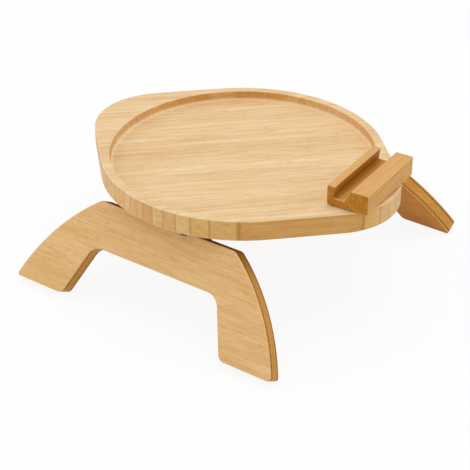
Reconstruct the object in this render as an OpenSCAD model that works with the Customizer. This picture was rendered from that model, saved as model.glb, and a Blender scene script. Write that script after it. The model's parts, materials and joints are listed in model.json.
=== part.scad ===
// Sofa arm tray: a dished bamboo board on two sprung, arched leg panels, with a turning phone holder.
// The floor is z = 0, the board's centre is above the origin, and the two ears lie along X.

/* [Board] */
// Radius of the round board, half the side of its square blank
board_r = 140; // [125:1:160]
// Thickness of the board
board_t = 21; // [19:0.5:26]
// Radius of the rounded corner at each ear
ear_r = 69.5; // [55:0.5:90]
// Width of the board's rim, from its round edge in to the dish
rim_w = 9; // [5:0.5:20]
// Depth of the dish
dish_depth = 10; // [5:0.5:11]
// Radius at the foot of the dish wall
dish_fillet = 2; // [0.5:0.5:4]

/* [Leg panels] */
// Splay of each panel from upright, as it stands
splay = 29.5; // [20:0.5:36]
// Thickness of a panel
panel_t = 15.5; // [12:0.5:18]
// Length of a panel down its slope
panel_len = 99.6; // [80:0.2:104]
// Distance from the board's round edge in to the outer top edge of a panel
panel_in = 17; // [10:0.5:22]
// Drop from the board's underside to the outer top edge of a panel
stop_gap = 6.6; // [5:0.1:9]
// Half width of a panel along its top edge
top_half = 79.2; // [76:0.2:90]
// Half width of a panel across its feet
foot_half = 153.5; // [140:0.5:165]
// How far the outer side curves out beyond a straight line
side_bow = 9.3; // [4:0.1:16]
// Half width of the arch at the floor
arch_foot_half = 95.2; // [85:0.2:105]
// Half width of the arch under the bridge
arch_top_half = 73.5; // [66:0.5:78]
// Depth of the bridge above the arch
bridge_h = 44.8; // [40:0.1:52]
// Corner radius inside the arch
arch_corner_r = 15; // [6:0.5:20]
// Corner radius at the outer end of each foot
foot_corner_r = 3; // [1:0.5:8]
// Corner radius at the inner end of each foot
foot_inner_r = 8; // [3:0.5:14]
// Corner radius at the two ends of the top edge
top_corner_r = 8; // [2:0.5:12]

/* [Phone holder] */
// Width of the holder block, across the slot
holder_w = 42.3; // [38:0.1:48]
// Length of the holder block, along the slot
holder_l = 91; // [70:1:110]
// Height of the holder block
holder_h = 19.9; // [18:0.1:28]
// Thickness of the wood under the slot
slot_floor_t = 7.8; // [7.2:0.1:12]
// Width of the slot at its floor
slot_floor_w = 11.8; // [9:0.1:14]
// Distance from the pivot to the inner edge of the slot's floor
slot_offset = 14.7; // [13:0.1:17]
// Lean of the slot wall nearer the dish
slot_lean_in = 8.3; // [4:0.1:20]
// Lean of the slot wall nearer the ear's tip
slot_lean_out = 28; // [10:0.2:32]
// Distance of the block's middle from its pivot, along the slot
holder_shift = 2.8; // [0:0.1:8]
// Turn of the block from square to the ear, as it stands
holder_turned = 3.7; // [0:0.1:12]

/* [Holder pivot] */
// Distance of the pivot from the ear's tip
pivot_in = 25; // [20:0.1:28]
// Radius of the pivot bolt
bolt_r = 2.5; // [2:0.1:3]
// Radius of the bolt's head
bolt_head_r = 4.75; // [4.4:0.05:5.5]
// Height of the bolt's head
bolt_head_h = 3; // [2:0.1:3.6]
// Across-flats size of the key socket in the bolt's head
bolt_key = 3; // [2:0.1:3.5]
// Outer radius of the threaded insert in the holder block
insert_r = 4; // [3.6:0.1:4.4]
// Length of the threaded insert
insert_len = 6.5; // [5:0.1:6.8]
// Outer radius of the bush in the ear
bush_r = 4; // [3.6:0.1:5]
// Radius of the bush's flange
bush_flange_r = 7.5; // [6.5:0.1:8.5]
// Thickness of the bush's flange
bush_flange_t = 1.5; // [1:0.1:2]
// Radius of the pocket for the bolt's head under the ear
pocket_r = 9; // [8.8:0.1:11]
// Depth of that pocket
pocket_depth = 8; // [7.2:0.1:9]
// Radius of the sliding washer under the holder block
slide_washer_r = 11; // [8:0.5:14]
// Thickness of the sliding washer
slide_washer_t = 1; // [0.6:0.1:1.6]
// Radius of the steel washer at the bolt's head
head_washer_r = 6; // [5.6:0.1:7]
// Thickness of the steel washer
head_washer_t = 1; // [0.8:0.1:1.2]
// Outer radius of the cupped spring washer
cup_washer_r = 5.8; // [5:0.1:6.5]
// Thickness of the cupped spring washer
cup_washer_t = 0.6; // [0.4:0.1:0.8]
// How far the cupped spring washer stands up
cup_washer_rise = 0.5; // [0.3:0.1:0.7]

/* [Hinges] */
// Distance of each hinge from the middle of its panel
hinge_x = 25; // [24:0.5:26]
// Width of a hinge along its pin
hinge_w = 34; // [33.6:0.1:36]
// Radius of a hinge pin
pin_r = 1.5; // [1.3:0.05:1.7]
// Radius of the button heads on a pin
pin_head_r = 2.4; // [2:0.1:3]
// Thickness of those button heads
pin_head_t = 1.2; // [0.8:0.1:1.6]
// Outer radius of the hinge knuckles
knuckle_r = 3.4; // [3.2:0.1:3.5]
// Length of one knuckle
knuckle_len = 5; // [4.5:0.1:5.1]
// Distance from a pin's axis to the wood it is hinged on
pin_drop = 3.7; // [3.6:0.05:4.2]
// Thickness of the hinge leaves
leaf_t = 1.8; // [1.5:0.1:2]
// Reach of the leaf under the board, from the pin
board_leaf_reach = 26; // [24:0.5:30]
// Length of the other leaf that lies on the panel
panel_leaf_grip = 20; // [18:0.5:23]
// Corner radius of the leaves
leaf_corner_r = 3; // [1:0.5:5]
// Distance of the screw row from the end of the leaf under the board
leaf_screw_in = 8; // [6:0.5:10]

/* [Hinge springs] */
// Radius of the spring wire
wire_r = 0.6; // [0.5:0.05:0.65]
// Full turns of the spring coil
spring_turns = 6; // [4:1:7]
// Length of coil that one turn takes
spring_pitch = 1.9; // [1.75:0.05:2]
// Reach of the two spring legs from the pin
spring_leg = 12; // [9:0.5:13]

/* [Screws] */
// Radius of a wood screw's shank
screw_r = 1.75; // [1.5:0.05:2]
// Radius of a wood screw's head
screw_head_r = 3.4; // [3:0.1:3.6]
// Depth of the cone under the head
screw_cone = 1.5; // [1.2:0.1:1.6]
// Length of screw in the wood
screw_bite = 8; // [5:0.5:9]
// Spacing of the screws in a leaf
screw_pitch = 11; // [10:0.5:12]
// Depth of the cross slot in a head
screw_slot_depth = 1.1; // [0.6:0.1:1.4]

/* [Rubber parts] */
// Radius of a stop bumper where it meets the board
bumper_r = 6; // [4:0.5:8]
// Narrowing of a bumper towards its foot
bumper_taper = 0.4; // [0:0.1:1]
// Distance of each bumper from the middle of its panel
bumper_x = 23.3; // [16:0.1:28]
// How far a bumper's centre lies beyond the panel's top edge
bumper_out = 1.5; // [0:0.1:3]
// Length of the grip pad on a panel
pad_l = 120; // [80:1:130]
// Width of the grip pad
pad_w = 14; // [8:0.5:16]
// Thickness of the grip pad
pad_t = 1.5; // [1:0.1:3]
// Gap between the hinge leaves and the grip pad
pad_gap = 4; // [2:0.5:6]

/* [Hidden] */

$fn = 96;

// Clearances: a turning fit, a fixed fit, a soft part at its seat, and a cut that runs past a face
run_gap = 0.05;
fixed_gap = 0.02;
soft_gap = 0.3;
past = 1;

// Places on the board, counted from its centre
dish_r = board_r - rim_w;
panel_out = board_r - panel_in;
ear_centre = (board_r - ear_r) * sqrt(2);
pivot_x = ear_centre + ear_r - pivot_in;
slot_depth = holder_h - slot_floor_t;

// Heights, counted from the floor
board_z = panel_len * cos(splay) + panel_t * sin(splay) + stop_gap;
board_top = board_z + board_t;
pin_z = board_z - pin_drop;
holder_z = board_top + slide_washer_t;

// A panel's place: the slope length from the pin down to the wood, and the pin's distance from the middle
panel_start = (stop_gap + panel_t * sin(splay) - pin_drop * (1 - sin(splay))) / cos(splay);
hinge_y = panel_out - panel_t * cos(splay) - panel_start * sin(splay) - pin_drop * cos(splay);

// Knuckle places along a pin: the board leaf has the outer pair, the panel leaf the inner pair
knuckle_gap = 0.3;
outer_knuckle_x = hinge_w / 2 - knuckle_len / 2;
inner_knuckle_x = outer_knuckle_x - knuckle_len - knuckle_gap;
leaf_notch = knuckle_r + 0.4;

// The spring's mean radius leaves room round the pin
coil_gap = 0.35;
coil_r = pin_r + coil_gap + wire_r;
leg_gap = 0.1;
leg_side = pin_drop - leaf_t - wire_r - leg_gap;
hook_r = wire_r + 0.2;

// The bolt's stack under the ear
flange_z = board_z + pocket_depth - bush_flange_t;
cup_z = flange_z - cup_washer_t - cup_washer_rise;
head_washer_z = cup_z - head_washer_t;
bolt_end = holder_z + insert_len - 0.5;
washer_bore_r = bolt_r + 0.2;

tray_colour = [0.92, 0.78, 0.59];
panel_colour = [0.85, 0.69, 0.46];
holder_colour = [0.88, 0.70, 0.47];
steel_colour = [0.72, 0.72, 0.74];
brass_colour = [0.80, 0.65, 0.32];
nylon_colour = [0.93, 0.92, 0.88];
rubber_colour = [0.09, 0.09, 0.09];

function unit(v) = v / norm(v);

// Arc points that round the corner b between a and c
function corner_arc(a, b, c, r, steps = 10) =
  let (
    to_a = unit(a - b),
    to_c = unit(c - b),
    half = acos(to_a * to_c) / 2,
    centre = b + unit(to_a + to_c) * (r / sin(half)),
    from = b + to_a * (r / tan(half)) - centre,
    turn = (180 - 2 * half) * sign(cross(b - a, c - b))
  )
  [for (i = [0:steps])
    let (t = turn * i / steps)
    centre + [from.x * cos(t) - from.y * sin(t), from.x * sin(t) + from.y * cos(t)]];

// Points along a bowed line from a to b, without its two ends
function bowed_side(a, b, bow, steps = 28) =
  let (
    chord = norm(b - a),
    r = (chord * chord / 4 + bow * bow) / (2 * bow),
    along = (b - a) / chord,
    out = [-along.y, along.x],
    centre = (a + b) / 2 - out * (r - bow),
    half = asin(chord / 2 / r)
  )
  [for (i = [1:steps - 1])
    let (t = -half + 2 * half * i / steps)
    centre + r * (out * cos(t) + along * sin(t))];

// Right half of a panel's outline, from the top middle round to the arch's top middle
function half_outline() =
  let (
    top_end = [top_half, 0],
    foot_out = [foot_half, -panel_len],
    foot_in = [arch_foot_half, -panel_len],
    arch_top = [arch_top_half, -bridge_h],
    side = [for (p = bowed_side(top_end, foot_out, side_bow))
      if (norm(p - foot_out) > 2.3 * foot_corner_r && norm(p - top_end) > 1.2 * top_corner_r) p],
    first = side[0],
    last = side[len(side) - 1]
  )
  concat(
    corner_arc([0, 0], top_end, first, top_corner_r, 6),
    side,
    corner_arc(last, foot_out, foot_in, foot_corner_r),
    corner_arc(foot_out, foot_in, arch_top, foot_inner_r),
    corner_arc(foot_in, arch_top, [0, -bridge_h], arch_corner_r)
  );

function mirrored(points) = [for (i = [len(points) - 1:-1:0]) [-points[i].x, points[i].y]];

module panel_outline() {
  half = half_outline();
  polygon(concat(half, mirrored(half)));
}

// A panel's own frame: its pin is the X axis, its outward normal is Y, and Z runs up its slope
module on_panel(side) {
  rotate([0, 0, side > 0 ? 0 : 180])
    translate([0, hinge_y, pin_z])
      rotate([splay, 0, 0])
        children();
}

// A hinge's frame before the splay: its pin is the X axis and the board is above it
module at_hinge(side, end) {
  rotate([0, 0, side > 0 ? 0 : 180])
    translate([side * end * hinge_x, hinge_y, pin_z])
      children();
}

module at_panel_hinge(side, end) {
  on_panel(side)
    translate([side * end * hinge_x, 0, 0])
      children();
}

module x_cylinder(r, from, to) {
  translate([from, 0, 0])
    rotate([0, 90, 0])
      cylinder(r = r, h = to - from);
}

// Places of the screws in a leaf, by the distance of their row from the pin
module at_screws(row) {
  for (i = [-1:1])
    translate([i * screw_pitch, -row, 0])
      children();
}

// A leaf's screw rows, counted from the pin
board_screw_row = board_leaf_reach - leaf_screw_in;
panel_screw_row = panel_start + panel_leaf_grip / 2;

// One countersunk wood screw, its head's face on z = 0 and its point up
module wood_screw() {
  difference() {
    union() {
      cylinder(r1 = screw_head_r, r2 = screw_r, h = screw_cone);
      translate([0, 0, screw_cone])
        cylinder(r = screw_r, h = leaf_t + screw_bite - screw_cone - screw_r);
      translate([0, 0, leaf_t + screw_bite - screw_r])
        cylinder(r1 = screw_r, r2 = 0.3, h = screw_r);
    }
    for (turn = [0, 90])
      rotate([0, 0, turn])
        translate([-screw_head_r * 0.6, -0.4, -past])
          cube([screw_head_r * 1.2, 0.8, past + screw_slot_depth]);
  }
}

// The hole that a screw passes through in a leaf
module screw_seat() {
  seat_r = screw_head_r + fixed_gap;
  cylinder(r1 = seat_r, r2 = screw_r + fixed_gap, h = screw_cone);
  translate([0, 0, -past])
    cylinder(r = seat_r, h = past);
  cylinder(r = screw_r + fixed_gap, h = leaf_t + past);
}

// The hole that a screw makes in the wood, from the wood's face up
module screw_hole() {
  translate([0, 0, -past])
    cylinder(r = screw_r + fixed_gap, h = screw_bite + past + 0.2);
}

// Board outline: a disc with two opposite rounded corners
module board_outline() {
  edge = sqrt(0.5);
  circle(r = board_r, $fn = 240);
  for (end = [-1, 1]) {
    translate([end * ear_centre, 0])
      circle(r = ear_r, $fn = 180);
    rotate([0, 0, end > 0 ? 0 : 180])
      polygon([
        [0, 0],
        [board_r * edge, -board_r * edge],
        [ear_centre + ear_r * edge, -ear_r * edge],
        [ear_centre + ear_r * edge, ear_r * edge],
        [board_r * edge, board_r * edge]
      ]);
  }
}

module dish_cut() {
  rotate_extrude($fn = 240)
    union() {
      square([dish_r - dish_fillet, dish_depth + past]);
      translate([0, dish_fillet])
        square([dish_r, dish_depth + past - dish_fillet]);
      translate([dish_r - dish_fillet, dish_fillet])
        circle(r = dish_fillet);
    }
}

module tray_board() {
  color(tray_colour)
    difference() {
      translate([0, 0, board_z])
        linear_extrude(board_t)
          board_outline();
      translate([0, 0, board_top - dish_depth])
        dish_cut();
      translate([pivot_x, 0, board_z - past]) {
        cylinder(r = bush_r + fixed_gap, h = board_t + 2 * past);
        cylinder(r = pocket_r, h = pocket_depth + past);
      }
      for (side = [-1, 1], end = [-1, 1])
        at_hinge(side, end)
          translate([0, 0, pin_drop])
            at_screws(board_screw_row)
              screw_hole();
    }
}

module leg_panel(side) {
  color(panel_colour)
    on_panel(side)
      difference() {
        translate([0, pin_drop + panel_t, -panel_start])
          rotate([90, 0, 0])
            linear_extrude(panel_t)
              panel_outline();
        for (end = [-1, 1])
          translate([end * hinge_x, pin_drop, 0])
            rotate([-90, 0, 0])
              mirror([0, 1, 0])
                at_screws(panel_screw_row)
                  screw_hole();
      }
}

// Slot section: X across the block from its pivot, Y up from its underside
module slot_section() {
  floor_y = holder_h - slot_depth;
  rise = slot_depth + past;
  polygon([
    [-slot_offset, floor_y],
    [-slot_offset + slot_floor_w, floor_y],
    [-slot_offset + slot_floor_w + rise * tan(slot_lean_out), floor_y + rise],
    [-slot_offset + rise * tan(slot_lean_in), floor_y + rise]
  ]);
}

module phone_holder() {
  color(holder_colour)
    translate([pivot_x, 0, holder_z])
      rotate([0, 0, holder_turned])
        difference() {
          translate([-holder_w / 2, holder_shift - holder_l / 2, 0])
            cube([holder_w, holder_l, holder_h]);
          translate([0, holder_shift + holder_l / 2 + past, 0])
            rotate([90, 0, 0])
              linear_extrude(holder_l + 2 * past)
                slot_section();
          translate([0, 0, -past])
            cylinder(r = insert_r + fixed_gap, h = insert_len + past + 0.2);
        }
}

module holder_insert() {
  color(brass_colour)
    translate([pivot_x, 0, holder_z])
      difference() {
        cylinder(r = insert_r, h = insert_len);
        translate([0, 0, -past])
          cylinder(r = bolt_r + fixed_gap, h = insert_len + 2 * past);
      }
}

module holder_bolt() {
  head_z = head_washer_z - bolt_head_h;
  color(steel_colour)
    translate([pivot_x, 0, 0])
      difference() {
        union() {
          translate([0, 0, head_z])
            cylinder(r = bolt_head_r, h = bolt_head_h);
          translate([0, 0, head_washer_z])
            cylinder(r = bolt_r, h = bolt_end - head_washer_z);
        }
        translate([0, 0, head_z - past])
          cylinder(r = bolt_key / sqrt(3), h = past + bolt_head_h * 0.6, $fn = 6);
      }
}

module holder_bush() {
  color(nylon_colour)
    translate([pivot_x, 0, 0])
      difference() {
        union() {
          translate([0, 0, flange_z])
            cylinder(r = bush_flange_r, h = bush_flange_t);
          translate([0, 0, flange_z])
            cylinder(r = bush_r, h = board_top - flange_z);
        }
        translate([0, 0, flange_z - past])
          cylinder(r = bolt_r + run_gap, h = board_top - flange_z + 2 * past);
      }
}

module ring(r, bore, h, z) {
  translate([pivot_x, 0, z])
    difference() {
      cylinder(r = r, h = h);
      translate([0, 0, -past])
        cylinder(r = bore, h = h + 2 * past);
    }
}

module holder_slide_washer() {
  color(nylon_colour)
    ring(slide_washer_r, washer_bore_r, slide_washer_t, board_top);
}

module holder_head_washer() {
  color(steel_colour)
    ring(head_washer_r, washer_bore_r, head_washer_t, head_washer_z);
}

module holder_cup_washer() {
  color(steel_colour)
    translate([pivot_x, 0, cup_z])
      rotate_extrude()
        polygon([
          [washer_bore_r, cup_washer_rise],
          [cup_washer_r, 0],
          [cup_washer_r, cup_washer_t],
          [washer_bore_r, cup_washer_rise + cup_washer_t]
        ]);
}

// A leaf's plate: Y runs away from the pin, and the notch clears the other leaf's knuckles
module leaf_plate(reach, notch_from, notch_to) {
  difference() {
    translate([-hinge_w / 2, -reach, 0])
      cube([hinge_w, reach, leaf_t]);
    for (end = [-1, 1])
      translate([end * hinge_w / 2, -reach, leaf_t / 2])
        difference() {
          cube([2 * leaf_corner_r, 2 * leaf_corner_r, 2 * leaf_t], center = true);
          translate([-end * leaf_corner_r, leaf_corner_r, 0])
            cylinder(r = leaf_corner_r, h = 3 * leaf_t, center = true);
        }
    for (end = [-1, 1])
      translate([end * (notch_from + notch_to) / 2, 0, 0])
        cube([notch_to - notch_from, 2 * leaf_notch, 4 * leaf_t], center = true);
  }
}

// Leaf of a hinge in the frame of its own wood, the wood's face at z = pin_drop
module hinge_leaf(reach, knuckle_x, bore, row, notch_from, notch_to, hook_x) {
  color(steel_colour)
    difference() {
      union() {
        translate([0, 0, pin_drop - leaf_t])
          leaf_plate(reach, notch_from, notch_to);
        for (end = [-1, 1])
          x_cylinder(knuckle_r, end * knuckle_x - knuckle_len / 2, end * knuckle_x + knuckle_len / 2);
      }
      x_cylinder(bore, -hinge_w, hinge_w);
      translate([0, 0, pin_drop - leaf_t])
        at_screws(row)
          screw_seat();
      translate([hook_x, -spring_leg, 0])
        cylinder(r = hook_r, h = pin_drop + past);
    }
}

coil_end_x = spring_turns * spring_pitch / 2;

module board_leaf(side, end) {
  at_hinge(side, end)
    hinge_leaf(board_leaf_reach, outer_knuckle_x, pin_r + fixed_gap, board_screw_row,
      0, inner_knuckle_x + knuckle_len / 2 + knuckle_gap, -coil_end_x);
}

module panel_leaf(side, end) {
  at_panel_hinge(side, end)
    rotate([-90, 0, 0])
      mirror([0, 1, 0])
        difference() {
          hinge_leaf(panel_start + panel_leaf_grip, inner_knuckle_x, pin_r + run_gap, panel_screw_row,
            outer_knuckle_x - knuckle_len / 2 - knuckle_gap, hinge_w / 2 + past, coil_end_x);
          coil_room = inner_knuckle_x - knuckle_len / 2;
          translate([-coil_room, -leaf_notch, 0])
            cube([2 * coil_room, 2 * leaf_notch, pin_drop + past]);
        }
}

module hinge_pin(side, end) {
  color(steel_colour)
    at_hinge(side, end) {
      x_cylinder(pin_r, -hinge_w / 2 - pin_head_t, hinge_w / 2 + pin_head_t);
      x_cylinder(pin_head_r, -hinge_w / 2 - pin_head_t, -hinge_w / 2);
      x_cylinder(pin_head_r, hinge_w / 2, hinge_w / 2 + pin_head_t);
    }
}

// Spring path round the pin, in the hinge's frame: hook, board leg, coil, panel leg, hook
leg_far = norm([spring_leg, leg_side]);
leg_lift = atan2(leg_side, spring_leg);
tangent_turn = acos(coil_r / leg_far);
coil_from = 180 - leg_lift + tangent_turn;
coil_to = splay - 90 + leg_lift - tangent_turn + 360 * (spring_turns + 1);
coil_steps = 8 * (spring_turns + 1);

function on_panel_side(out, down) =
  [out * cos(splay) + down * sin(splay), out * sin(splay) - down * cos(splay)];

function spring_path() =
  let (
    sweep = coil_to - coil_from,
    tip = pin_drop - 0.2,
    board_hook = [-spring_leg, tip],
    board_bend = [-spring_leg, leg_side],
    panel_bend = on_panel_side(leg_side, spring_leg),
    panel_hook = on_panel_side(tip, spring_leg)
  )
  concat(
    [[-coil_end_x, board_hook.x, board_hook.y]],
    [[-coil_end_x, board_bend.x, board_bend.y]],
    [for (i = [0:coil_steps])
      let (t = i / coil_steps, a = coil_from + sweep * t)
      [-coil_end_x + 2 * coil_end_x * t, coil_r * cos(a), coil_r * sin(a)]],
    [[coil_end_x, panel_bend.x, panel_bend.y]],
    [[coil_end_x, panel_hook.x, panel_hook.y]]
  );

function path_direction(path, i) =
  unit(path[min(i + 1, len(path) - 1)] - path[max(i - 1, 0)]);

function wire_ring(centre, direction, r, sides) =
  let (
    across = unit(cross(direction, [1, 0, 0])),
    up = cross(direction, across)
  )
  [for (k = [0:sides - 1])
    centre + r * (across * cos(360 * k / sides) + up * sin(360 * k / sides))];

module wire(path, r, sides = 6) {
  last = len(path) - 1;
  points = [for (i = [0:last]) each wire_ring(path[i], path_direction(path, i), r, sides)];
  walls = [for (i = [0:last - 1], k = [0:sides - 1])
    let (a = i * sides + k, b = i * sides + (k + 1) % sides)
    each [[a, b, a + sides], [b, b + sides, a + sides]]];
  start = [for (k = [1:sides - 2]) [0, k + 1, k]];
  end = [for (k = [1:sides - 2]) [last * sides, last * sides + k, last * sides + k + 1]];
  polyhedron(points, concat(walls, start, end), convexity = 12);
}

// Least gap between stretches of the wire that are most of a turn apart
function least_gap(path) =
  min([for (i = [0:len(path) - 1], j = [i + 6:1:len(path) - 1]) norm(path[j] - path[i])]) - 2 * wire_r;

module hinge_spring(side, end) {
  color(steel_colour)
    at_hinge(side, end)
      wire(spring_path(), wire_r);
}

// The board's screws point up into it from the leaves
module board_leaf_screws() {
  color(steel_colour)
    for (side = [-1, 1], end = [-1, 1])
      at_hinge(side, end)
        translate([0, 0, pin_drop - leaf_t])
          at_screws(board_screw_row)
            wood_screw();
}

module panel_screws(side) {
  color(steel_colour)
    for (end = [-1, 1])
      at_panel_hinge(side, end)
        translate([0, pin_drop - leaf_t, 0])
          rotate([-90, 0, 0])
            mirror([0, 1, 0])
              at_screws(panel_screw_row)
                wood_screw();
}

// Rubber stop that a panel's top edge comes up against
module bumper(side, end) {
  bumper_h = stop_gap - soft_gap;
  color(rubber_colour)
    rotate([0, 0, side > 0 ? 0 : 180])
      translate([side * end * bumper_x, panel_out + bumper_out, board_z - bumper_h])
        cylinder(r1 = bumper_r - bumper_taper, r2 = bumper_r, h = bumper_h);
}

module grip_pad(side) {
  color(rubber_colour)
    on_panel(side)
      translate([-pad_l / 2, pin_drop - pad_t, -panel_start - panel_leaf_grip - pad_gap - pad_w])
        cube([pad_l, pad_t, pad_w]);
}

echo(spring_least_gap = least_gap(spring_path()));

tray_board();
leg_panel(-1);  // front_leg_panel
leg_panel(1);  // rear_leg_panel
phone_holder();
holder_insert();
holder_bolt();
holder_bush();
holder_slide_washer();
holder_cup_washer();
holder_head_washer();
board_leaf(-1, -1);  // front_left_board_leaf
board_leaf(-1, 1);  // front_right_board_leaf
board_leaf(1, -1);  // rear_left_board_leaf
board_leaf(1, 1);  // rear_right_board_leaf
panel_leaf(-1, -1);  // front_left_panel_leaf
panel_leaf(-1, 1);  // front_right_panel_leaf
panel_leaf(1, -1);  // rear_left_panel_leaf
panel_leaf(1, 1);  // rear_right_panel_leaf
hinge_pin(-1, -1);  // front_left_hinge_pin
hinge_pin(-1, 1);  // front_right_hinge_pin
hinge_pin(1, -1);  // rear_left_hinge_pin
hinge_pin(1, 1);  // rear_right_hinge_pin
hinge_spring(-1, -1);  // front_left_spring
hinge_spring(-1, 1);  // front_right_spring
hinge_spring(1, -1);  // rear_left_spring
hinge_spring(1, 1);  // rear_right_spring
board_leaf_screws();
panel_screws(-1);  // front_panel_screws
panel_screws(1);  // rear_panel_screws
bumper(-1, -1);  // front_left_bumper
bumper(-1, 1);  // front_right_bumper
bumper(1, -1);  // rear_left_bumper
bumper(1, 1);  // rear_right_bumper
grip_pad(-1);  // front_grip_pad
grip_pad(1);  // rear_grip_pad
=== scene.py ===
# Sofa arm tray in laminated bamboo: a dished board on two sprung, arched leg panels,
# with a turning phone holder. The floor is z = 0, the two ears of the board lie along X,
# and every length is in metres.

import json
import math

import bmesh
import bpy
from mathutils import Matrix, Vector


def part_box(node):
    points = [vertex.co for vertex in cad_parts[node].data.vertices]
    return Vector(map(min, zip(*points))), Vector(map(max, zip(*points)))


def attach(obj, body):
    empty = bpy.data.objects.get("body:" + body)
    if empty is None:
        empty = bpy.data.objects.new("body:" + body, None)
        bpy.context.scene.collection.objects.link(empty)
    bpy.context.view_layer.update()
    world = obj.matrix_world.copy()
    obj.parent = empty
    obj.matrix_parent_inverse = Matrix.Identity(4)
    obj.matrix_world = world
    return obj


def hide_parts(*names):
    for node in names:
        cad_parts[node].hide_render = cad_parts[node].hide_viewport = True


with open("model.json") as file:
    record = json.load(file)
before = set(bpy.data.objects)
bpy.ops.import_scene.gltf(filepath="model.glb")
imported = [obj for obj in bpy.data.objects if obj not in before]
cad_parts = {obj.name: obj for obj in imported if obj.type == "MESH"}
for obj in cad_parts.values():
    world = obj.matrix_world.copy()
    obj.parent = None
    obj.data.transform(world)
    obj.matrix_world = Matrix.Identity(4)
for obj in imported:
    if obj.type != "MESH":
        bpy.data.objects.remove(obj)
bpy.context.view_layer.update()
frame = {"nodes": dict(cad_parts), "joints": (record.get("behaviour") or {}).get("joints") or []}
joint_place = {joint["name"]: Vector(joint["pos_m"]) for joint in frame["joints"]}

MM = 0.001
UP = Vector((0, 0, 1))
DIAGONAL = math.sqrt(0.5)

# Faces that meet at more than this angle keep a crisp edge
SHARP = math.radians(50)

# Narrow faces on both sides of an eased edge, so that the flats beside it stay flat
EASE_STEPS = 4
BESIDE_EDGE = 0.4 * MM
ROUND_STEPS = 64

# The board: a disc with two opposite rounded ears, and the dish in it. The solid's cove is 2 mm.
BOARD_R = 140 * MM
EAR_R = 69.5 * MM
EAR_OUT = (BOARD_R - EAR_R) * math.sqrt(2)
RIM_W = 9 * MM
DISH_DEPTH = 10 * MM
DISH_COVE = 4 * MM
DISH_LIP = 1.2 * MM
BOARD_ARRIS = 1.5 * MM
BOARD_POINTS = 480

# The holes for the pivot, a hair wider than the bush and the insert that fill them
PIVOT_HOLE_R = 4.02 * MM
PIVOT_POCKET_R = 9 * MM
POCKET_CUT = 9 * MM
THROUGH_CUT = 30 * MM
INSERT_CUT = 7.7 * MM

# A leg panel: out from its middle, and down its slope from its top edge
SPLAY = math.radians(29.5)
PANEL_T = 15.5 * MM
PANEL_LEN = 99.6 * MM
PANEL_START = 14.195 * MM
PANEL_ARRIS = 1.4 * MM
TOP_HALF = 79.2 * MM
FOOT_OUT = 153.5 * MM
FOOT_IN = 95.2 * MM
ARCH_HALF = 73.5 * MM
ARCH_DOWN = 44.8 * MM
SIDE_BOW = 9.3 * MM
TOP_CORNER_R = 8 * MM
TOE_R = 3 * MM
HEEL_R = 8 * MM
ARCH_R = 15 * MM

# The phone block and its slot, seen along the block
HOLDER_W = 42.3 * MM
HOLDER_L = 91 * MM
HOLDER_H = 19.9 * MM
HOLDER_SHIFT = 2.8 * MM
HOLDER_TURNED = math.radians(3.7)
HOLDER_ARRIS = 0.8 * MM
HOLDER_BESIDE_EDGE = 0.15 * MM
SLOT_FLOOR = 7.8 * MM
SLOT_BACK = -14.7 * MM
SLOT_FRONT = SLOT_BACK + 11.8 * MM
SLOT_BACK_LEAN = math.radians(8.3)
SLOT_FRONT_LEAN = math.radians(28)
BLOCK_CORNER_R = 1.2 * MM
MOUTH_CORNER_R = 1.1 * MM
FLOOR_CORNER_R = 0.8 * MM

# The hinges, their springs and their screws
PIN_DROP = 3.7 * MM
PIN_R = 1.5 * MM
HINGE_OUT = 25 * MM
LEAF_T = 1.8 * MM
LEAF_LONG = 20 * MM
SPRING_TURNS = 6
SPRING_PITCH = 1.9 * MM
SPRING_POINTS = 24
SPRING_REACH = 12 * MM
WIRE_R = 0.6 * MM
COIL_GAP = 0.35 * MM
ARM_GAP = 0.1 * MM
HOOK_SHORT = 0.2 * MM
ARM_THINNER = 0.01 * MM
ARM_OVERLAP = 8
WIRE_BEND_R = 0.9 * MM
SCREW_PITCH = 11 * MM
BOARD_SCREWS_IN = 18 * MM
PANEL_SCREWS_DOWN = 10 * MM

# A screw's neck against its shank, how deep in the head the shank starts, and the slot against the head
SCREW_NECK = 1.06
SHANK_START = 0.9
SLOT_REACH = 1.25

# Ridged grip pads, below the leaves on the inner faces of the panels
PAD_LONG = 120 * MM
PAD_WIDE = 14 * MM
PAD_THICK = 1.5 * MM
PAD_GAP = 4 * MM
PAD_RIDGES = 5
PAD_ARRIS = 0.05 * MM
RIDGE_POINTS = 8

# The body that carries each leg panel, and the side it stands on
PANEL_BODY = {"front": "front_leg", "rear": "rear_leg"}
SIDES = {"front": -1, "rear": 1}


def side_turn(side):
    """The front panel is the rear one, turned half round the tray's upright axis."""
    return Matrix.Rotation(math.pi, 4, "Z") if side == "front" else Matrix.Identity(4)


def panel_place(side):
    """Matrix from a panel's own frame to the tray's: X along its pin, Y out of its show face, Z up it."""
    pin = joint_place["rear_leg_fold"]
    return side_turn(side) @ Matrix.Translation(pin) @ Matrix.Rotation(SPLAY, 4, "X")


def hinge_places(side):
    """Matrices of the two hinges of a panel before the splay, left one first."""
    pin = joint_place["rear_leg_fold"]
    made = {}
    for end, name in ((-1, "left"), (1, "right")):
        out = Vector((SIDES[side] * end * HINGE_OUT, 0, 0))
        made[name] = side_turn(side) @ Matrix.Translation(pin + out)
    return made


# Meshes


def new_object(name, data):
    """An object of some data, put in the scene."""
    made = bpy.data.objects.new(name, data)
    bpy.context.scene.collection.objects.link(made)
    return made


def add_piece(name, mesh, body, node, material=None, smooth=True):
    """Makes an object of a finished mesh, which rides on a body and stands for a solid."""
    piece = new_object(name, mesh)
    if material is not None:
        mesh.materials.clear()
        mesh.materials.append(material)
    if smooth:
        for face in mesh.polygons:
            face.use_smooth = True
        mesh.set_sharp_from_angle(angle=SHARP)
    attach(piece, body)
    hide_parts(node)


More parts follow.
